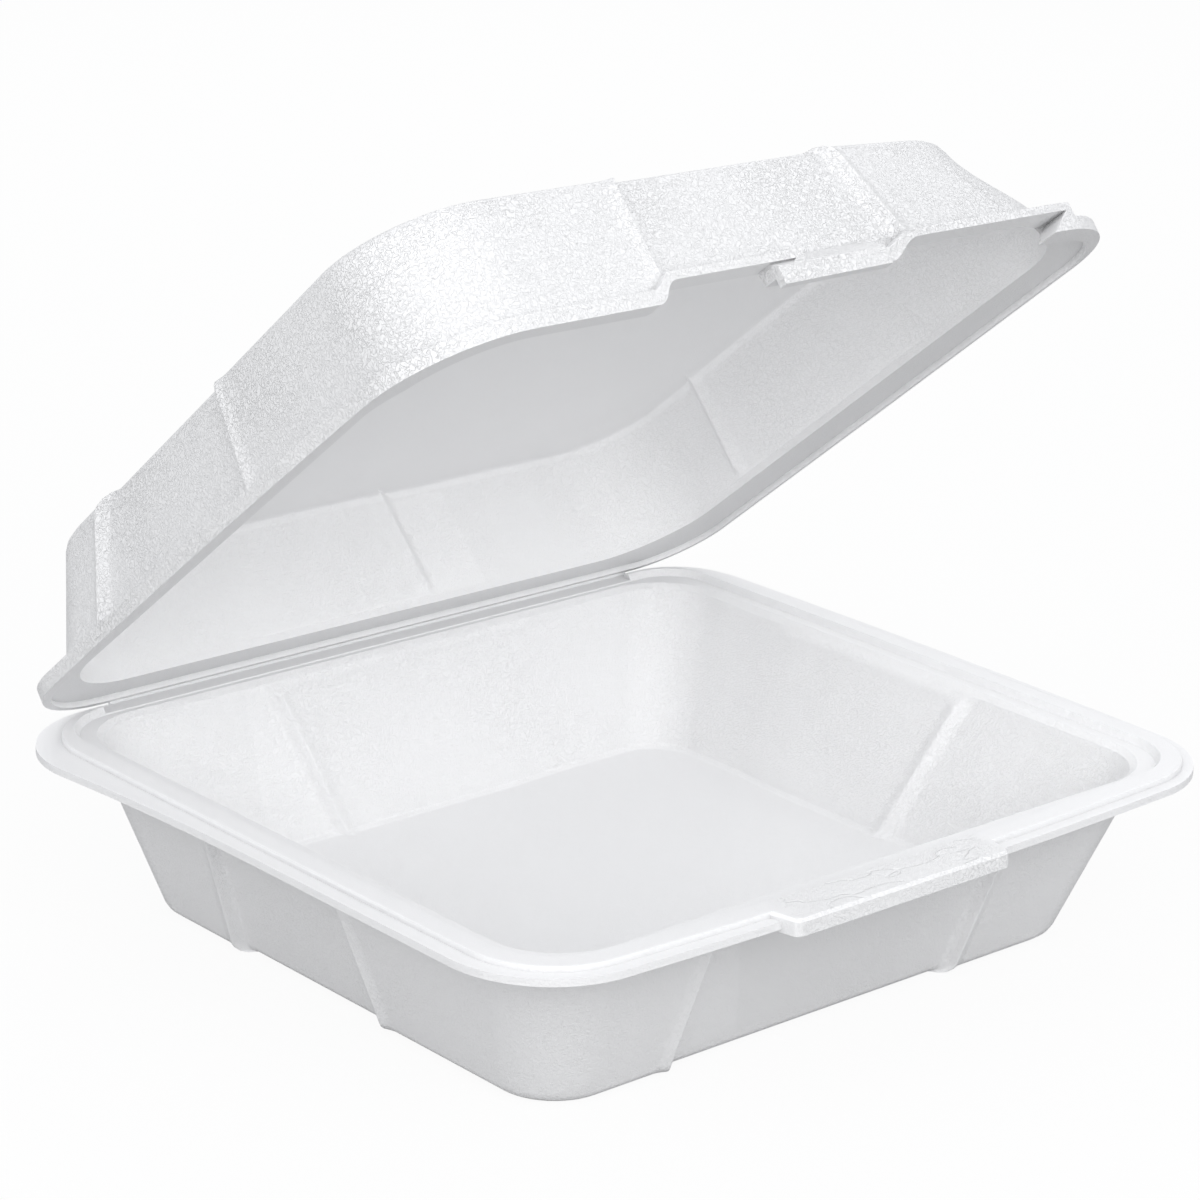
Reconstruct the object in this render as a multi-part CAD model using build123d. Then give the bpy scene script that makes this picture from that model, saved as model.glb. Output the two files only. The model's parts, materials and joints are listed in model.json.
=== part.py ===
from build123d import *
from math import cos, radians, sin, tan
import os

os.makedirs("parts", exist_ok=True)

# Foam clamshell food container, modelled in millimetres with the lid standing open.
# The origin is on the table under the middle of the tray. Z is up, X runs along the hinge,
# and the front with its latch tab faces -Y.

# Foam sheet
foam = 2.6
floor_foam = 3.0
seat_gap = 0.3
hinge_gap = 0.4
overcut = 0.01

# Tray rim, seen from above
rim_height = 42.5
hinge_y = 96.0
lip_left_ledge = 4.4
lip_right_ledge = 2.5
lip_front_ledge = 3.3
lip_front_bow = 3.3
lip_side_bow = 1.8
lip_flare = 7.0
lip_flare_y = -5.0
lip_corner = 27.0
lip_hinge_corner = 21.0
lip_thick = 1.8
bead_left = 105.2
bead_right = 105.5
bead_front = 96.9
bead_front_bow = 3.8
bead_side_bow = 0.6
bead_corner = 22.5
bead_hinge_corner = 18.0
bead_height = 1.4
bead_top = 5.0
bead_slope = 1.3
bead_round = 0.6
bead_back = 2.4
hinge_ridge = 1.5
hinge_half = 84.0
hinge_land = 5.0
ledge_drop = 0.3
ledge_width = 4.2
back_ledge = 3.0

# Tray walls, with the pressed panels that stiffen them
tray_top_corner = 17.0
tray_base_left = 85.5
tray_base_right = 81.0
tray_base_front = 77.5
tray_base_back = 74.0
tray_base_corner = 15.0
base_round = 2.2
floor_round = 1.6
rim_round = 1.2
panel_recess = 2.0
panel_bulge = 0.9
panel_step = 2.8
panel_run = 6.0
inner_inset = 1.2
inner_rib = 2.1
inner_rib_width = 9.0
inner_fade = 24.0
rib_cap = 3.2
rib_fade = 0.02

# How far each panel's edges lie from the corners of its wall: at the start and at the end of
# the side, going round from the front left corner, first at the foot of the wall and then at its top
tray_front_foot = (36.5, 45.0)
tray_front_rim = (52.0, 56.0)
tray_side_foot = (57.5, 41.0)
tray_side_rim = (79.0, 58.0)
tray_inner_front = (58.0, 52.0)
tray_inner_side = (64.0, 50.0)
lid_front_panel = (66.0, 62.0)
lid_side_panel = (82.0, 41.0)
lid_inner_hinge = (79.0, 62.0)

# Latch tab on the front of the tray
tab_left = -40.5
tab_right = 24.5
tab_reach = 10.5
tab_thick = 4.0
tab_slant = 3.0
tab_corner = 2.0
tab_chamfer = 0.7
tab_root = 4.0

# Lid rim
lid_left_wall = 2.6
lid_right_wall = 1.4
lid_reach = 0.6
lid_skew = 7.0
lid_front_bow = 0.8
lid_left_bow = 2.4
lid_right_bow = 0.6
lid_corner = 28.0
lid_hinge_corner = 20.0
lid_edge = 3.5
channel_side = 0.5
channel_roof = 0.35

# Lid walls: how far their outer face stands in from the rim, at the foot and at the top
lid_height = 33.0
lid_front_foot = 2.0
lid_front_top = 5.0
lid_left_foot = 3.2
lid_left_top = 8.8
lid_right_foot = 12.5
lid_right_top = 21.0
lid_hinge_foot = 9.5
lid_hinge_top = 17.0
lid_twist = 4.5
lid_wall_corner = 26.0
lid_round = 3.0

# Raised latch hooks and the tongue between them, on the front of the lid
hook_rise = 5.0
hook_edge = 2.6
hook_depth = 11.0
hook_1 = (-39.0, -4.0)
hook_2 = (35.0, 84.0)
hook_ramp_1 = 8.0
hook_ramp_2 = 13.0
hook_undercut = 7.0
tongue_thick = 2.4
tongue_end = 21.0
tongue_drop = 0.9
tongue_rise = 7.0
tongue_root = 5.5

# Pose of the lid: the angle from closed
lid_open = 38.6

hinge_z = rim_height + seat_gap / 2
lip_left = bead_left + lip_left_ledge
lip_right = bead_right + lip_right_ledge
lip_front = bead_front + lip_front_ledge
tab_front = bead_front + tab_reach
lid_left = bead_left + channel_side + lid_left_wall
lid_right = bead_right + channel_side + lid_right_wall
lid_front = tab_front + lid_reach
lip_back = hinge_y - hinge_gap / 2
bead_z = rim_height + bead_height
ledge_z = rim_height - ledge_drop
lid_seat = rim_height + seat_gap
lid_foot = lid_seat + lid_edge
lid_top = lid_seat + lid_height
channel_z = bead_z + channel_roof


def outline(corners, radii, bows, z, flare=None):
    """A rounded four-sided face at height z. Corners and radii start at the front left and go by
    the right; bows are those of the front, right and left. A flare widens the left side from one
    depth to the back."""
    front_left, front_right, back_right, back_left = [Vector(*corner) for corner in corners]
    front_bow, right_bow, left_bow = bows
    edges = [
        ThreePointArc(front_left, (front_left + front_right) / 2 + Vector(0, -front_bow), front_right),
        ThreePointArc(front_right, (front_right + back_right) / 2 + Vector(right_bow, 0), back_right),
    ]
    if flare:
        width, start = flare
        turn = Vector(back_left.X, start)
        back_left = back_left - Vector(width, 0)
        edges.append(Line(back_right, back_left))
        edges.append(TangentArc(turn, back_left, tangent=(0, 1)))
        edges.append(Line(turn, front_left))
    else:
        edges.append(Line(back_right, back_left))
        middle = (back_left + front_left) / 2 - Vector(left_bow, 0)
        edges.append(ThreePointArc(back_left, middle, front_left))
    face = make_face(edges)
    for point, radius in zip((front_left, front_right, back_right, back_left), radii):
        face = fillet(face.vertices().sort_by_distance(point)[0], radius)
    return Pos(0, 0, z) * face


def lip_face(z):
    front_left = (-lip_left, -lip_front)
    front_right = (lip_right, -lip_front)
    corners = [front_left, front_right, (lip_right, lip_back), (-lip_left, lip_back)]
    radii = [lip_corner, lip_corner, lip_hinge_corner, lip_corner]
    bows = (lip_front_bow, lip_side_bow, 0)
    return outline(corners, radii, bows, z, flare=(lip_flare, lip_flare_y))


def bead_face(inset, back_inset, z):
    left = -bead_left + inset
    right = bead_right - inset
    front = -bead_front + inset
    back = lip_back - back_inset
    corners = [(left, front), (right, front), (right, back), (left, back)]
    corner = bead_corner - inset
    radii = [corner, corner, bead_hinge_corner - inset, corner]
    return outline(corners, radii, (bead_front_bow, bead_side_bow, bead_side_bow), z)


def rounding(radius, parts=3):
    """The steps of a quarter round: how far in and how far up each stands."""
    turns = [radians(90 * part / parts) for part in range(parts + 1)]
    return [(radius * (1 - cos(turn)), radius * sin(turn)) for turn in turns]


# Each step of a panel is three points across it: distance towards the panel and depth
pressed_step = [(-panel_run, 0), (-panel_run * 0.3, -panel_bulge), (panel_step / 2, panel_recess)]
rib_step = [(-inner_rib_width / 2, 0), (0, inner_rib), (inner_rib_width / 2, inner_inset)]
fading_step = [(-inner_fade, 0), (-inner_fade * 0.4, inner_inset * 0.5), (panel_step, inner_inset)]


def panel_side(start, end, margins, steps, strength):
    """One side of a wall section with a pressed panel; margins are its distances from both ends."""
    along = (end - start).normalized()
    inward = Vector(-along.Y, along.X)
    near_start = start + along * margins[0]
    far_start = end - along * margins[1]
    near = [near_start + along * place + inward * (depth * strength) for place, depth in steps[0]]
    far = [far_start - along * place + inward * (depth * strength) for place, depth in steps[1]]
    return [
        Spline(*near, tangents=[along, along]),
        Line(near[-1], far[-1]),
        Spline(*reversed(far), tangents=[along, along]),
    ]


def wall_section(corners, radius, z, panels, strength):
    """A closed wall section at height z. Each of the four sides has its own panel."""
    points = [Vector(*corner) for corner in corners]
    edges = []
    for number, (margins, steps) in enumerate(panels):
        before, start, end, after = [points[(number + place) % 4] for place in (-1, 0, 1, 2)]
        along = (end - start).normalized()
        next_along = (after - end).normalized()
        last_along = (start - before).normalized()
        reach = radius * tan(radians(last_along.get_angle(along) / 2))
        next_reach = radius * tan(radians(along.get_angle(next_along) / 2))
        side = panel_side(start, end, margins, steps, strength)
        edges.append(Line(start + along * reach, side[0] @ 0))
        edges += side
        edges.append(Line(side[-1] @ 1, end - along * next_reach))
        edges.append(TangentArc(end - along * next_reach, end + next_along * next_reach, tangent=along))
    return Pos(0, 0, z) * make_face(edges)


def between(low, high, share):
    return low + (high - low) * share


# Where the inner face of the tray wall starts, just inside the ledge
well_inset = bead_top + bead_slope
wall_left = bead_left - well_inset - ledge_width
wall_right = bead_right - well_inset - ledge_width
wall_front = bead_front + bead_front_bow / 2 - well_inset - ledge_width
wall_back = lip_back - bead_back - hinge_ridge - bead_slope - back_ledge
wall_top_z = ledge_z - rim_round


def tray_section(z, offset, outside, strength):
    """The tray wall at height z; offset moves it out from the inner face to the outer one."""
    share = z / wall_top_z
    left = between(tray_base_left - foam, wall_left, share) + offset
    right = between(tray_base_right - foam, wall_right, share) + offset
    front = between(tray_base_front - foam, wall_front, share) + offset
    back = between(tray_base_back - foam, wall_back, share) + offset
    radius = between(tray_base_corner - foam, tray_top_corner, share) + offset
    corners = [(-left, -front), (right, -front), (right, back), (-left, back)]
    if outside:
        front_margins = [between(foot, rim, share) for foot, rim in zip(tray_front_foot, tray_front_rim)]
        side_margins = [between(foot, rim, share) for foot, rim in zip(tray_side_foot, tray_side_rim)]
        steps = (pressed_step, pressed_step)
        back_steps = steps
    else:
        front_margins = tray_inner_front
        side_margins = tray_inner_side
        steps = (rib_step, fading_step)
        back_steps = (fading_step, rib_step)
    panels = [
        (front_margins, steps),
        (side_margins, steps),
        (front_margins[::-1], back_steps),
        (side_margins[::-1], back_steps),
    ]
    return wall_section(corners, radius, z, panels, strength)


def make_tray():
    under = rim_height - lip_thick
    outer = []
    for inset, up in reversed(rounding(base_round)):
        outer.append(tray_section(base_round - up, foam - inset, True, 1))
    outer.append(tray_section(under, foam, True, 1))
    outside = loft(outer, ruled=True)
    lip = extrude(lip_face(under), lip_thick)
    bead = [bead_face(0, bead_back, rim_height)]
    for inset, up in rounding(bead_round, parts=2):
        bead.append(bead_face(inset, bead_back + inset, bead_z - bead_round + up))
    bead = loft(bead, ruled=True)
    well = loft(
        [
            bead_face(well_inset, bead_back + hinge_ridge + bead_slope, ledge_z),
            bead_face(bead_top, bead_back + hinge_ridge, bead_z + overcut),
        ],
        ruled=True,
    )
    inner = []
    for inset, up in reversed(rounding(floor_round)):
        inner.append(tray_section(floor_foam + floor_round - up, -inset, False, 1))
    inner.append(tray_section(wall_top_z - rib_cap, 0, False, 1))
    inner.append(tray_section(wall_top_z, 0, False, rib_fade))
    inner.append(tray_section(ledge_z + overcut, rim_round, False, rib_fade))
    cavity = loft(inner, ruled=True)
    land = Pos(0, lip_back, bead_z) * Box(2 * hinge_half, 2 * hinge_land, 2 * bead_height)
    return outside + lip + (bead - land) + make_tab() - well - cavity


def make_tab():
    """The thumb tab that stands out from the front of the tray at the height of the bead."""
    root = tab_root - bead_front
    points = [
        (tab_left - tab_slant, root),
        (tab_left, -tab_front),
        (tab_right, -tab_front),
        (tab_right + tab_slant, root),
    ]
    face = make_face(Polyline(*points, close=True))
    tab = extrude(Pos(0, 0, bead_z - tab_thick) * face, tab_thick)
    tab = fillet(tab.edges().filter_by(Axis.Z).group_by(Axis.Y)[0], tab_corner)
    return chamfer(tab.faces().sort_by(Axis.Z)[-1].edges(), tab_chamfer)


def lid_face(z):
    front_left = (-lid_left, -lid_front - lid_skew / 2)
    front_right = (lid_right, -lid_front + lid_skew / 2)
    corners = [front_left, front_right, (lid_right, lip_back), (-lid_left, lip_back)]
    radii = [lid_corner, lid_corner, lid_hinge_corner, lid_corner]
    return outline(corners, radii, (lid_front_bow, lid_right_bow, lid_left_bow), z)


def lid_section(z, offset, outside, strength):
    """The lid wall at height z, with the lid closed; offset moves it out from its outer face."""
    share = max((z - lid_foot) / (lid_top - lid_foot), 0)
    left = lid_left - between(lid_left_foot, lid_left_top, share) + offset
    right = lid_right - between(lid_right_foot, lid_right_top, share) + offset
    front = lid_front - between(lid_front_foot, lid_front_top, share) + offset
    back = lip_back - between(lid_hinge_foot, lid_hinge_top, share) + offset
    twist = lid_twist * share
    corners = [
        (-left - twist, -front - lid_skew / 2),
        (right, -front + lid_skew / 2),
        (right, back),
        (-left + twist, back),
    ]
    steps = (pressed_step, pressed_step)
    back_steps = steps
    hinge_margins = lid_front_panel[::-1]
    if not outside:
        steps = (fading_step, rib_step)
        back_steps = (rib_step, fading_step)
        hinge_margins = lid_inner_hinge
    panels = [
        (lid_front_panel, steps),
        (lid_side_panel, steps),
        (hinge_margins, back_steps),
        (lid_side_panel[::-1], back_steps),
    ]
    return wall_section(corners, lid_wall_corner + offset, z, panels, strength)


def ramp(start, end, low, high):
    """A smooth rise of the rim from one height to another."""
    return Spline((start, 0, low), (end, 0, high), tangents=[(1, 0, 0), (1, 0, 0)])


def rim_band():
    """The front rim as seen from the front: it climbs over both hooks and drops back behind them."""
    top = lid_seat + hook_rise + hook_edge
    low = lid_seat
    high = lid_seat + hook_rise
    left = -2 * lid_left
    right = 2 * lid_right
    start_1 = hook_1[0] - hook_ramp_1
    start_2 = hook_2[0] - hook_ramp_2
    foot_1 = hook_1[1] - hook_undercut
    foot_2 = hook_2[1] - hook_undercut
    end_1 = hook_1[1] + hook_edge
    end_2 = hook_2[1] + hook_edge
    edges = [
        Line((left, 0, low), (start_1, 0, low)),
        ramp(start_1, hook_1[0], low, high),
        Line((hook_1[0], 0, high), (hook_1[1], 0, high)),
        Line((hook_1[1], 0, high), (foot_1, 0, low)),
        Line((foot_1, 0, low), (start_2, 0, low)),
        ramp(start_2, hook_2[0], low, high),
        Line((hook_2[0], 0, high), (hook_2[1], 0, high)),
        Line((hook_2[1], 0, high), (foot_2, 0, low)),
        Line((foot_2, 0, low), (right, 0, low)),
        Line((right, 0, low), (right, 0, lid_foot)),
        Line((right, 0, lid_foot), (end_2, 0, lid_foot)),
        Line((end_2, 0, lid_foot), (end_2, 0, top)),
        Line((end_2, 0, top), (hook_2[0], 0, top)),
        ramp(start_2, hook_2[0], lid_foot, top),
        Line((start_2, 0, lid_foot), (end_1, 0, lid_foot)),
        Line((end_1, 0, lid_foot), (end_1, 0, top)),
        Line((end_1, 0, top), (hook_1[0], 0, top)),
        ramp(start_1, hook_1[0], lid_foot, top),
        Line((start_1, 0, lid_foot), (left, 0, lid_foot)),
        Line((left, 0, lid_foot), (left, 0, low)),
    ]
    return extrude(make_face(edges), lid_front + lid_skew, dir=(0, -1, 0))


def hook_space():
    """What is cut away under both raised hooks."""
    low = lid_seat - overcut
    high = lid_seat + hook_rise
    spaces = []
    for hook, run in ((hook_1, hook_ramp_1), (hook_2, hook_ramp_2)):
        start = hook[0] - run
        foot = hook[1] - hook_undercut
        edges = [
            Line((start, 0, low), (start, 0, lid_seat)),
            ramp(start, hook[0], lid_seat, high),
            Line((hook[0], 0, high), (hook[1], 0, high)),
            Line((hook[1], 0, high), (foot, 0, low)),
            Line((foot, 0, low), (start, 0, low)),
        ]
        face = Pos(0, -lid_front + hook_depth, 0) * make_face(edges)
        spaces.append(extrude(face, 2 * hook_depth, dir=(0, -1, 0)))
    return spaces


def make_tongue():
    """The lower stretch between the hooks; it reaches down in front of the tray's tab."""
    inner = -(tab_front + seat_gap)
    outer = inner - tongue_thick
    root = -lid_front + tongue_root
    points = [
        (0, inner, lid_seat - tongue_drop),
        (0, outer, lid_seat - tongue_drop),
        (0, outer, lid_seat + lid_edge),
        (0, root - foam, lid_seat + tongue_rise),
        (0, root, lid_seat + tongue_rise),
        (0, root, channel_z),
        (0, inner, channel_z),
    ]
    start = hook_1[1] - hook_undercut
    face = make_face(Polyline(*points, close=True))
    return extrude(Pos(start, 0, 0) * face, tongue_end - start, dir=(1, 0, 0))


def make_lid():
    """The lid, built closed and then swung open about the hinge."""
    outer = [lid_section(lid_foot - overcut, 0, True, 1)]
    for inset, up in rounding(lid_round):
        outer.append(lid_section(lid_top - lid_round + up, -inset, True, 1))
    shell = loft(outer, ruled=True)
    plan = extrude(lid_face(lid_seat - overcut), hook_rise + lid_edge + hook_edge)
    front_zone = Pos(0, -lid_front, lid_seat) * Box(4 * lid_left, 2 * hook_depth, 4 * lid_edge)
    rim = extrude(lid_face(lid_seat), lid_edge) - front_zone
    rim_front = plan & rim_band() & front_zone
    body = shell + rim + rim_front
    for space in hook_space():
        body = body - space
    inner = [
        lid_section(lid_seat - overcut, -foam, False, rib_fade),
        lid_section(lid_foot, -foam, False, rib_fade),
        lid_section(lid_foot + rib_cap, -foam, False, 1),
    ]
    for inset, up in rounding(lid_round):
        inner.append(lid_section(lid_top - foam - lid_round + up, -foam - inset, False, 1))
    body = body + make_tongue() - loft(inner, ruled=True)
    channel = bead_face(-channel_side, bead_back - channel_side, lid_seat - overcut)
    channel = extrude(channel, channel_z - lid_seat + overcut)
    pocket_left = tab_left - tab_slant - seat_gap
    pocket_right = tab_right + tab_slant + seat_gap
    pocket_low = lid_seat - 2 * tongue_drop
    pocket = Box(pocket_right - pocket_left, tab_front + seat_gap, channel_z - pocket_low)
    middle = ((pocket_left + pocket_right) / 2, -(tab_front + seat_gap) / 2, (pocket_low + channel_z) / 2)
    return body - channel - Pos(*middle) * pocket


tray = make_tray()
lid = make_lid()
hinge = Axis((0, hinge_y, hinge_z), (1, 0, 0))
lid = lid.rotate(hinge, -lid_open)

export_step(tray, "parts/tray.step")
export_step(lid, "parts/lid.step")
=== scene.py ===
import bpy
import bmesh
import json
import math
from mathutils import Matrix, Vector


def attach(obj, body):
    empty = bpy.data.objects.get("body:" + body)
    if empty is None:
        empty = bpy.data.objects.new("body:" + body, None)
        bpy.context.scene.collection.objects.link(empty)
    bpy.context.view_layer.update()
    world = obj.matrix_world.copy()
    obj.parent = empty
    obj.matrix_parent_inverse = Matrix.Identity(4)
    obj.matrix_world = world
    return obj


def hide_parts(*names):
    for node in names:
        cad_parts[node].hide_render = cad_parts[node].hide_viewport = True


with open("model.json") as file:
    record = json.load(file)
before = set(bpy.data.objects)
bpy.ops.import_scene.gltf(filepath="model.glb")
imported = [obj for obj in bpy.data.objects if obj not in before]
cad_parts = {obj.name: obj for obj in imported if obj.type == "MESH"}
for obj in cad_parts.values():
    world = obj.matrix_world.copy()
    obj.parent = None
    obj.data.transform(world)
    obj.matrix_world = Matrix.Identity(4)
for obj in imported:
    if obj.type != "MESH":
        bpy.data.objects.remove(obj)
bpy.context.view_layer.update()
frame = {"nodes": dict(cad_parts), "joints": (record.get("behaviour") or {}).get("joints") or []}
print("frame loaded:", sorted(frame["nodes"]))

# The foam skin: white expanded beads pressed smooth, with a fine leathery crease, and painted light
# and shade: lighter faces inside the box, painted shade beside folds, painted highlights on outer
# edges and roundings.
# A "Span" is where an effect starts and where it is full.
foamSkin = {
    # the outside colour; faces turned into the box take a lighter colour below, as painted light
    "outside": (0.83, 0.83, 0.836, 1.0),
    "insideSpan": (0.0, 0.012),    # metres by which a face looks towards the middle of its half
    "roughness": 0.42,
    "specular": 0.35,

    "creaseScale": 1050.0,         # worm-like creases per metre
    "creaseDetail": 1.5,
    "creaseBend": 0.8,
    "creaseSpan": (0.0, 0.09),
    "creaseHeight": 0.00015,
    "beadScale": 1500.0,           # pressed beads per metre
    "swellScale": 26.0,            # slow swells of the sheet per metre
    "swellSpan": (0.35, 0.65),
    "sparseShare": 0.6,            # how much of the creases is left between two swells
    "noiseDetail": 2.0,

    "pressedSpan": (0.82, 0.97),   # how level a face is, from 0 upright to 1 level
    "pressedShare": 0.42,          # how much of the creases is left on a flat that was pressed hard
    "leaningSpan": (0.50, 0.68),
    "flatSpan": (0.80, 0.97),
    "roundingTone": 1.05,          # painted highlight on the roundings between upright and level faces
    "cloudSpan": (0.3, 0.7),
    "cloudTone": 0.985,

    "wrinkleScale": (75.0, 190.0, 60.0),
    "wrinkleSpan": (0.0, 0.022),
    "wrinkleDepth": 1.1,           # in crease heights
    "tabSpan": (0.030, 0.033),     # metres from the tab's middle to its ends
    "tabFade": (0.0, 0.001),
    "tabRoughness": 0.35,          # extra creases on the tab

    "creviceShadeReach": 0.0019,        # how far the painted shade beside a fold reaches
    "creviceShadeSpan": (0.25, 0.9),
    "creviceShadeTone": 0.80,
    "edgeHighlightReach": 0.0009,           # how wide a band of painted highlight runs along an outer edge
    "edgeHighlightSpan": (0.5, 0.95),
    "edgeHighlightTone": 1.03,
    "edgeSamples": 6,
}


def addSocket(group, name, kind, inOut, value=None):
    socket = group.interface.new_socket(name=name, in_out=inOut, socket_type=kind)
    if value is not None:
        socket.default_value = value
    return socket


def addMath(nodes, links, operation, first, second):
    node = nodes.new("ShaderNodeMath")
    node.operation = operation
    for socket, value in zip(node.inputs, (first, second)):
        if isinstance(value, (int, float)):
            socket.default_value = value
        else:
            links.new(value, socket)
    return node.outputs[0]


def addRange(nodes, links, value, span, toLow=0.0, toHigh=1.0):
    node = nodes.new("ShaderNodeMapRange")
    node.interpolation_type = "SMOOTHSTEP"
    node.inputs["From Min"].default_value = span[0]
    node.inputs["From Max"].default_value = span[1]
    node.inputs["To Min"].default_value = toLow
    node.inputs["To Max"].default_value = toHigh
    links.new(value, node.inputs["Value"])
    return node.outputs["Result"]


def addDot(nodes, links, first, second):
    node = nodes.new("ShaderNodeVectorMath")
    node.operation = "DOT_PRODUCT"
    links.new(first, node.inputs[0])
    links.new(second, node.inputs[1])
    return node.outputs["Value"]


def addNoise(nodes, links, vector, scale, detail, bend=0.0):
    node = nodes.new("ShaderNodeTexNoise")
    node.inputs["Detail"].default_value = detail
    node.inputs["Distortion"].default_value = bend
    links.new(vector, node.inputs["Vector"])
    if isinstance(scale, (int, float)):
        node.inputs["Scale"].default_value = scale
    else:
        links.new(scale, node.inputs["Scale"])
    return node.outputs["Fac"]


def addDistance(nodes, links, value, middle):
    away = addMath(nodes, links, "SUBTRACT", value, middle)
    return addMath(nodes, links, "ABSOLUTE", away, 0)


def foamSkinGroup():
    group = bpy.data.node_groups.new("foamSkinGroup", "ShaderNodeTree")
    for scale in ("creaseScale", "beadScale", "swellScale"):
        addSocket(group, scale, "NodeSocketFloat", "INPUT", foamSkin[scale])
    addSocket(group, "middle", "NodeSocketVector", "INPUT", (0, 0, 0))
    addSocket(group, "axis", "NodeSocketVector", "INPUT", (0, 0, 1))
    addSocket(group, "outsideShare", "NodeSocketFloat", "INPUT", 1.0)
    addSocket(group, "insideShare", "NodeSocketFloat", "INPUT", 1.0)
    addSocket(group, "tabMiddle", "NodeSocketFloat", "INPUT", 0.0)
    addSocket(group, "tabFront", "NodeSocketFloat", "INPUT", -1.0)
    for mask in ("height", "tone", "inside", "rounding", "flat"):
        addSocket(group, mask, "NodeSocketFloat", "OUTPUT")
    nodes, links = group.nodes, group.links
    given = nodes.new("NodeGroupInput").outputs
    out = nodes.new("NodeGroupOutput").inputs
    place = nodes.new("ShaderNodeTexCoord").outputs

    toMiddle = nodes.new("ShaderNodeVectorMath")    # which faces look into the box: painted lighter, as painted light, and given their own crease share
    toMiddle.operation = "SUBTRACT"
    links.new(given["middle"], toMiddle.inputs[0])
    links.new(place["Object"], toMiddle.inputs[1])
    facing = addDot(nodes, links, toMiddle.outputs[0], place["Normal"])
    inside = addRange(nodes, links, facing, foamSkin["insideSpan"])
    links.new(inside, out["inside"])

    level = addDot(nodes, links, place["Normal"], given["axis"])    # flats were pressed hardest
    level = addMath(nodes, links, "ABSOLUTE", level, 0)
    pressed = addRange(nodes, links, level, foamSkin["pressedSpan"], 1.0, foamSkin["pressedShare"])
    flat = addRange(nodes, links, level, foamSkin["flatSpan"])
    leaning = addRange(nodes, links, level, foamSkin["leaningSpan"])
    # level faces: the tab's wrinkles, and painted light or shade in the material
    links.new(flat, out["flat"])
    # faces between upright and level, which get a painted highlight
    links.new(addMath(nodes, links, "SUBTRACT", leaning, flat), out["rounding"])
    side = nodes.new("ShaderNodeMapRange")
    links.new(inside, side.inputs["Value"])
    links.new(given["outsideShare"], side.inputs["To Min"])
    links.new(given["insideShare"], side.inputs["To Max"])
    share = addMath(nodes, links, "MULTIPLY", pressed, side.outputs["Result"])

    creases = addNoise(nodes, links, place["Object"], given["creaseScale"],
                       foamSkin["creaseDetail"], foamSkin["creaseBend"])
    worm = addRange(nodes, links, addDistance(nodes, links, creases, 0.5), foamSkin["creaseSpan"])
    beads = addNoise(nodes, links, place["Object"], given["beadScale"], foamSkin["noiseDetail"])
    swell = addNoise(nodes, links, place["Object"], given["swellScale"], foamSkin["noiseDetail"])
    links.new(swell, out["tone"])
    patch = addRange(nodes, links, swell, foamSkin["swellSpan"], foamSkin["sparseShare"], 1.0)
    relief = addMath(nodes, links, "ADD", addMath(nodes, links, "MULTIPLY", worm, patch), beads)

    split = nodes.new("ShaderNodeSeparateXYZ")      # the thumb tab is wrinkled by its pressing
    links.new(place["Object"], split.inputs[0])
    across = addDistance(nodes, links, split.outputs["X"], given["tabMiddle"])
    across = addRange(nodes, links, across, foamSkin["tabSpan"], 1.0, 0.0)
    ahead = addMath(nodes, links, "SUBTRACT", split.outputs["Y"], given["tabFront"])
    ahead = addRange(nodes, links, ahead, foamSkin["tabFade"], 1.0, 0.0)
    onTab = addMath(nodes, links, "MULTIPLY", across, ahead)
    stretched = nodes.new("ShaderNodeVectorMath")
    stretched.operation = "MULTIPLY"
    stretched.inputs[1].default_value = foamSkin["wrinkleScale"]
    links.new(place["Object"], stretched.inputs[0])
    leaf = addNoise(nodes, links, stretched.outputs[0], 1.0, 1.0)
    line = addRange(nodes, links, addDistance(nodes, links, leaf, 0.5),
                    foamSkin["wrinkleSpan"], foamSkin["wrinkleDepth"], 0.0)
    wrinkle = addMath(nodes, links, "MULTIPLY", line, addMath(nodes, links, "MULTIPLY", onTab, flat))

    tabShare = addMath(nodes, links, "MULTIPLY", onTab, foamSkin["tabRoughness"])
    relief = addMath(nodes, links, "MULTIPLY", relief, addMath(nodes, links, "ADD", share, tabShare))
    links.new(addMath(nodes, links, "SUBTRACT", relief, wrinkle), out["height"])
    return group


foamSkinTree = foamSkinGroup()


# Ambient occlusion around folds and outer edges, which the material turns into painted shade and
# painted highlights
def nearEdges(nodes, reach, inside):
    found = nodes.new("ShaderNodeAmbientOcclusion")
    found.only_local = True
    found.inside = inside
    found.samples = foamSkin["edgeSamples"]
    found.inputs["Distance"].default_value = reach
    return found.outputs["AO"]


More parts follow.
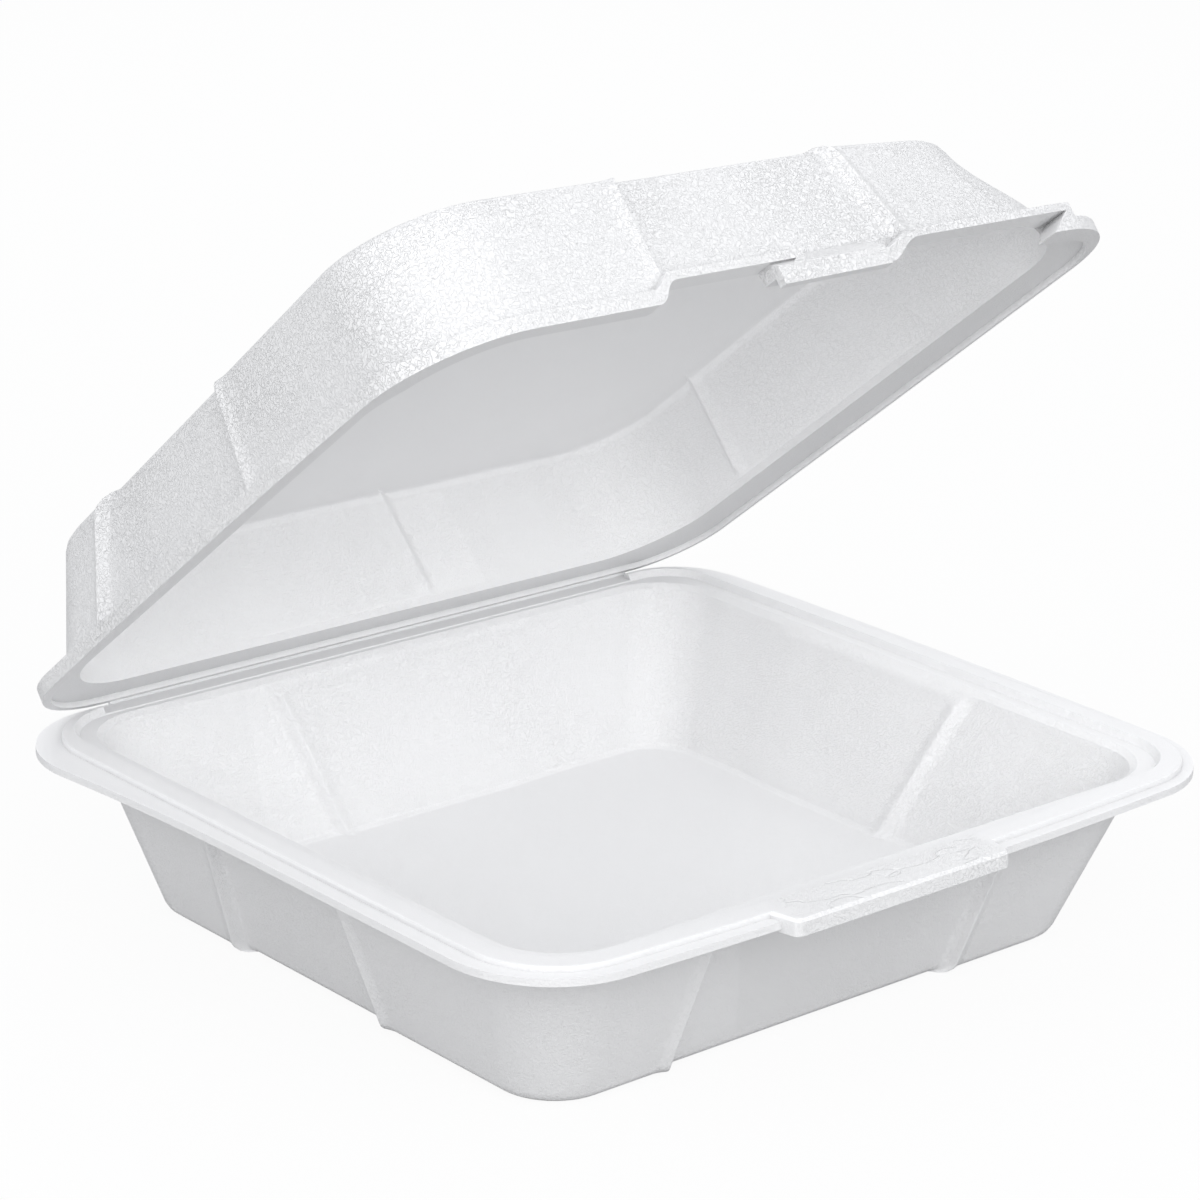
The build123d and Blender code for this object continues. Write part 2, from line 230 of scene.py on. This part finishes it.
def foamMaterial(name, half):
    material = bpy.data.materials.new(name)
    material.use_nodes = True
    nodes, links = material.node_tree.nodes, material.node_tree.links
    shader = nodes["Principled BSDF"]
    skin = nodes.new("ShaderNodeGroup")
    skin.node_tree = foamSkinTree
    for key in ("middle", "axis", "outsideShare", "insideShare", "tabMiddle", "tabFront"):
        skin.inputs[key].default_value = half[key]
    # Faces turned into the box take the lighter inside colour: painted light
    outsideToLitInside = nodes.new("ShaderNodeMix")
    outsideToLitInside.data_type = "RGBA"
    outsideToLitInside.inputs["A"].default_value = foamSkin["outside"]
    outsideToLitInside.inputs["B"].default_value = half["inside"]
    links.new(skin.outputs["inside"], outsideToLitInside.inputs["Factor"])

    # Painted shade beside folds, painted highlights along outer edges and on roundings, painted
    # light or shade on level faces, and a random cloudy tone, all multiplied into the colour
    foldShade = nearEdges(nodes, foamSkin["creviceShadeReach"], False)
    edgeHighlight = nearEdges(nodes, foamSkin["edgeHighlightReach"], True)
    tone = addRange(nodes, links, foldShade, foamSkin["creviceShadeSpan"], foamSkin["creviceShadeTone"], 1.0)
    for mask, span, low, high in (
        (skin.outputs["tone"], foamSkin["cloudSpan"], foamSkin["cloudTone"], 1.0),
        (edgeHighlight, foamSkin["edgeHighlightSpan"], foamSkin["edgeHighlightTone"], 1.0),
        (skin.outputs["rounding"], (0.0, 1.0), 1.0, foamSkin["roundingTone"]),
        (skin.outputs["flat"], (0.0, 1.0), 1.0, half["flatLightShadeTone"]),
    ):
        tone = addMath(nodes, links, "MULTIPLY", tone, addRange(nodes, links, mask, span, low, high))
    shade = nodes.new("ShaderNodeVectorMath")
    shade.operation = "SCALE"
    links.new(outsideToLitInside.outputs["Result"], shade.inputs[0])
    links.new(tone, shade.inputs["Scale"])
    links.new(shade.outputs[0], shader.inputs["Base Color"])

    bump = nodes.new("ShaderNodeBump")
    bump.inputs["Distance"].default_value = foamSkin["creaseHeight"]
    bump.inputs["Strength"].default_value = 1.0
    links.new(skin.outputs["height"], bump.inputs["Height"])
    links.new(bump.outputs["Normal"], shader.inputs["Normal"])
    shader.inputs["Roughness"].default_value = foamSkin["roughness"]
    shader.inputs["Specular IOR Level"].default_value = foamSkin["specular"]
    return material


# The lid stands open at this angle; its own up and forward turn with it
lidOpen = math.radians(38.6)
toLidMiddle = 0.1              # metres forward from the hinge
hingeAt = Vector(frame["joints"][0]["pos_m"])
lidForward = Vector((0, -math.cos(lidOpen), math.sin(lidOpen)))
lidUp = Vector((0, math.sin(lidOpen), math.cos(lidOpen)))
halfSkins = {
    "tray": {
        "middle": (0, 0, 0.044),
        "axis": (0, 0, 1),
        "outsideShare": 0.35,      # how strong the creases are outside and inside
        "insideShare": 0.5,
        # lighter colour for faces turned into the box: painted light
        "inside": (0.90, 0.90, 0.905, 1.0),
        # level faces painted lighter: painted light on the floor and rim
        "flatLightShadeTone": 1.065,
        "tabMiddle": -0.008,
        "tabFront": -0.0955,       # the tab lies ahead of this
    },
    "lid": {
        "middle": hingeAt + lidForward * toLidMiddle,
        "axis": lidUp,
        "outsideShare": 1.0,
        "insideShare": 0.45,
        # lighter colour for faces turned into the box: painted light
        "inside": (0.93, 0.93, 0.934, 1.0),
        # level faces painted darker: painted shade on the roof
        "flatLightShadeTone": 0.92,
        "tabMiddle": 0.0,
        "tabFront": -1.0,          # none here
    },
}
halfMaterials = {name: foamMaterial(name + "FoamWhite", half) for name, half in halfSkins.items()}
print("foam material ready")

# The two halves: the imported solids, with their edges softened as a foam mould leaves them
halves = {
    "mergeDistance": 0.000002,
    "flatAngle": 0.3,          # faces within this many degrees become one
    "edgeRound": 0.0005,
    "edgeAngle": 30.0,         # edges sharper than this are softened
    "roundSegments": 2,
}


def linkPiece(name, mesh):
    piece = bpy.data.objects.new(name, mesh)
    bpy.context.scene.collection.objects.link(piece)
    return piece


def bakedMesh(piece):
    graph = bpy.context.evaluated_depsgraph_get()
    mesh = bpy.data.meshes.new_from_object(piece.evaluated_get(graph))
    piece.modifiers.clear()
    return mesh


# The lid's front right corner is pressed rounder towards its top than its neighbours
roundCorner = {
    "body": "lid",
    "across": (0.020, 0.090),      # where the rounding grows, along the hinge,
    "forward": (0.120, 0.200),     # away from the hinge
    "height": (0.005, 0.031),      # and up from the rim
    "pull": 0.0085,
}


def easing(value, span):
    share = min(max((value - span[0]) / (span[1] - span[0]), 0.0), 1.0)
    return share * share * (3 - 2 * share)


def pressCorner(work):
    inward = (Vector((-1, 0, 0)) - lidForward).normalized()
    for vert in work.verts:
        place = vert.co - hingeAt
        amount = easing(place.x, roundCorner["across"])
        amount *= easing(place.dot(lidForward), roundCorner["forward"])
        amount *= easing(place.dot(lidUp), roundCorner["height"])
        vert.co += inward * (amount * roundCorner["pull"])


def foamHalf(name):
    mesh = frame["nodes"][name].data.copy()
    mesh.materials.clear()
    work = bmesh.new()
    work.from_mesh(mesh)
    bmesh.ops.remove_doubles(work, verts=work.verts, dist=halves["mergeDistance"])
    if name == roundCorner["body"]:
        pressCorner(work)
    flat = math.radians(halves["flatAngle"])
    bmesh.ops.dissolve_limit(work, angle_limit=flat, verts=work.verts, edges=work.edges)
    for face in work.faces:
        face.smooth = True
    work.to_mesh(mesh)
    work.free()
    piece = linkPiece(name + "Foam", mesh)

    soften = piece.modifiers.new("soften", "BEVEL")
    soften.width = halves["edgeRound"]
    soften.segments = halves["roundSegments"]
    soften.limit_method = "ANGLE"
    soften.angle_limit = math.radians(halves["edgeAngle"])
    level = piece.modifiers.new("level", "WEIGHTED_NORMAL")
    level.keep_sharp = True
    mesh.set_sharp_from_angle(angle=math.radians(180))    # no edge stays sharp
    piece.data = bakedMesh(piece)
    piece.data.materials.append(halfMaterials[name])
    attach(piece, name)
    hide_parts(name)
    return piece


trayFoam = foamHalf("tray")
lidFoam = foamHalf("lid")
print("tray and lid dressed")

# The living hinge: the pressed line of foam on which the lid turns
crease = {
    "left": -0.0795,
    "right": 0.0862,
    "radius": 0.00050,
    "waver": 0.00006,
    "waverScale": 420.0,
    "step": 0.0012,
    "sides": 12,
    "seed": 3.0,
}


def creaseTree():
    tree = bpy.data.node_groups.new("creaseTree", "GeometryNodeTree")
    addSocket(tree, "start", "NodeSocketVector", "INPUT")
    addSocket(tree, "end", "NodeSocketVector", "INPUT")
    addSocket(tree, "radius", "NodeSocketFloat", "INPUT", crease["radius"])
    addSocket(tree, "step", "NodeSocketFloat", "INPUT", crease["step"])
    addSocket(tree, "waver", "NodeSocketFloat", "INPUT", crease["waver"])
    addSocket(tree, "geometry", "NodeSocketGeometry", "OUTPUT")
    nodes, links = tree.nodes, tree.links
    given = nodes.new("NodeGroupInput")
    out = nodes.new("NodeGroupOutput")
    line = nodes.new("GeometryNodeCurvePrimitiveLine")
    links.new(given.outputs["start"], line.inputs["Start"])
    links.new(given.outputs["end"], line.inputs["End"])
    even = nodes.new("GeometryNodeResampleCurve")
    even.mode = "LENGTH"
    links.new(line.outputs["Curve"], even.inputs["Curve"])
    links.new(given.outputs["step"], even.inputs["Length"])

    waver = nodes.new("ShaderNodeTexNoise")         # foam never presses to an even line
    waver.noise_dimensions = "4D"
    waver.inputs["W"].default_value = crease["seed"]
    waver.inputs["Scale"].default_value = crease["waverScale"]
    centred = nodes.new("ShaderNodeVectorMath")
    centred.operation = "SUBTRACT"
    centred.inputs[1].default_value = (0.5, 0.5, 0.5)
    links.new(waver.outputs["Color"], centred.inputs[0])
    scaled = nodes.new("ShaderNodeVectorMath")
    scaled.operation = "SCALE"
    links.new(centred.outputs[0], scaled.inputs[0])
    links.new(given.outputs["waver"], scaled.inputs["Scale"])
    moved = nodes.new("GeometryNodeSetPosition")
    links.new(even.outputs["Curve"], moved.inputs["Geometry"])
    links.new(scaled.outputs[0], moved.inputs["Offset"])

    ring = nodes.new("GeometryNodeCurvePrimitiveCircle")
    ring.inputs["Resolution"].default_value = crease["sides"]
    links.new(given.outputs["radius"], ring.inputs["Radius"])
    strip = nodes.new("GeometryNodeCurveToMesh")
    strip.inputs["Fill Caps"].default_value = True
    links.new(moved.outputs["Geometry"], strip.inputs["Curve"])
    links.new(ring.outputs["Curve"], strip.inputs["Profile Curve"])
    real = nodes.new("GeometryNodeRealizeInstances")
    links.new(strip.outputs["Mesh"], real.inputs["Geometry"])
    finish = nodes.new("GeometryNodeSetMaterial")
    finish.inputs["Material"].default_value = halfMaterials["tray"]
    links.new(real.outputs["Geometry"], finish.inputs["Geometry"])
    links.new(finish.outputs["Geometry"], out.inputs["geometry"])
    return tree


def makeCrease():
    piece = linkPiece("hingeCrease", bpy.data.meshes.new("hingeCrease"))
    run = piece.modifiers.new("run", "NODES")
    run.node_group = creaseTree()
    items = run.node_group.interface.items_tree
    sockets = {item.name: item.identifier for item in items if item.in_out == "INPUT"}
    run[sockets["start"]] = (crease["left"], hingeAt.y, hingeAt.z)
    run[sockets["end"]] = (crease["right"], hingeAt.y, hingeAt.z)
    for key in ("radius", "step", "waver"):
        run[sockets[key]] = crease[key]
    piece.data = bakedMesh(piece)
    for face in piece.data.polygons:
        face.use_smooth = True
    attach(piece, "tray")
    return piece


makeCrease()
print("hinge crease pressed")


# The floor: pale and matt, and nearly white where the camera looks at it
ground = {
    "half": 6.0,
    "colour": (0.45, 0.45, 0.45, 1.0),
    "roughness": 0.9,
    "cameraWhite": 0.85,           # what is left of 1 keeps the object's shadow
    "white": 1.08,
}


def floorMaterial():
    material = bpy.data.materials.new("paleFloor")
    material.use_nodes = True
    nodes, links = material.node_tree.nodes, material.node_tree.links
    shader = nodes["Principled BSDF"]
    shader.inputs["Base Color"].default_value = ground["colour"]
    shader.inputs["Roughness"].default_value = ground["roughness"]
    shader.inputs["Specular IOR Level"].default_value = 0.0
    white = nodes.new("ShaderNodeEmission")
    white.inputs["Strength"].default_value = ground["white"]
    rays = nodes.new("ShaderNodeLightPath")
    mix = nodes.new("ShaderNodeMixShader")
    share = nodes.new("ShaderNodeMath")
    share.operation = "MULTIPLY"
    share.inputs[1].default_value = ground["cameraWhite"]
    links.new(rays.outputs["Is Camera Ray"], share.inputs[0])
    links.new(share.outputs[0], mix.inputs["Fac"])
    links.new(shader.outputs[0], mix.inputs[1])
    links.new(white.outputs[0], mix.inputs[2])
    links.new(mix.outputs[0], nodes["Material Output"].inputs["Surface"])
    return material


def makeFloor():
    half = ground["half"]
    mesh = bpy.data.meshes.new("floor")
    corners = [(-half, -half, 0), (half, -half, 0), (half, half, 0), (-half, half, 0)]
    mesh.from_pydata(corners, [], [(0, 1, 2, 3)])
    floor = bpy.data.objects.new("floor", mesh)
    bpy.context.scene.collection.objects.link(floor)
    mesh.materials.append(floorMaterial())
    return floor


makeFloor()

# The room's even light, which the camera sees as plain white
room = {"tint": (0.97, 0.98, 1.0, 1.0), "strength": 0.80}


def lightRoom():
    world = bpy.data.worlds.new("studio")
    bpy.context.scene.world = world
    world.use_nodes = True
    nodes, links = world.node_tree.nodes, world.node_tree.links
    dim = nodes["Background"]
    dim.inputs["Color"].default_value = room["tint"]
    dim.inputs["Strength"].default_value = room["strength"]
    bright = nodes.new("ShaderNodeBackground")
    bright.inputs["Color"].default_value = (1, 1, 1, 1)
    rays = nodes.new("ShaderNodeLightPath")
    mix = nodes.new("ShaderNodeMixShader")
    links.new(rays.outputs["Is Camera Ray"], mix.inputs["Fac"])
    links.new(dim.outputs[0], mix.inputs[1])
    links.new(bright.outputs[0], mix.inputs[2])
    links.new(mix.outputs[0], nodes["World Output"].inputs["Surface"])


lightRoom()

# Softboxes in front, on the left and behind
softboxes = {
    "distance": 1.3,
    "size": 0.8,
    "target": (0.0, 0.0, 0.06),
    "lamps": {                     # degrees from the front, degrees up, watts
        "front": (0.0, 33.0, 3.8),
        "frontLow": (0.0, 12.0, 0.8),
        "frontLeft": (-45.0, 30.0, 4.0),
        "left": (-90.0, 22.0, 2.6),
        "behind": (140.0, 35.0, 2.0),
    },
}


def placeSoftbox(name, turn, height, watts):
    turn, height = math.radians(turn), math.radians(height)
    lamp = bpy.data.lights.new(name + "Softbox", "AREA")
    lamp.size = softboxes["size"]
    lamp.energy = watts
    holder = bpy.data.objects.new(name + "Softbox", lamp)
    bpy.context.scene.collection.objects.link(holder)
    level = math.cos(height)
    away = Vector((math.sin(turn) * level, -math.cos(turn) * level, math.sin(height)))
    holder.location = away * softboxes["distance"]
    look = Vector(softboxes["target"]) - holder.location
    holder.rotation_euler = look.to_track_quat("-Z", "Y").to_euler()


for name, (turn, height, watts) in softboxes["lamps"].items():
    placeSoftbox(name, turn, height, watts)

# The camera, at the photograph's viewing angle
view = {
    "at": (-0.5950, -0.6799, 0.3854),
    "turn": 40.93,
    "down": 18.75,
    "roll": 1.18,
    "lens": 121.46,
    "sensor": 36.0,
}


def placeCamera():
    turn, down, roll = (math.radians(view[key]) for key in ("turn", "down", "roll"))
    ahead = math.cos(down)
    look = Vector((math.sin(turn) * ahead, math.cos(turn) * ahead, -math.sin(down)))
    level = Vector((math.cos(turn), -math.sin(turn), 0))
    upright = level.cross(look)
    right = level * math.cos(roll) + upright * math.sin(roll)
    up = upright * math.cos(roll) - level * math.sin(roll)
    data = bpy.data.cameras.new("camera")
    data.lens = view["lens"]
    data.sensor_width = view["sensor"]
    data.clip_start = 0.01
    data.clip_end = 50
    camera = bpy.data.objects.new("camera", data)
    bpy.context.scene.collection.objects.link(camera)
    axes = Matrix((right, up, -look)).transposed()
    camera.matrix_world = Matrix.Translation(view["at"]) @ axes.to_4x4()
    bpy.context.scene.camera = camera


placeCamera()
bpy.context.scene.view_settings.view_transform = "Standard"
print("stage, lights and camera placed")
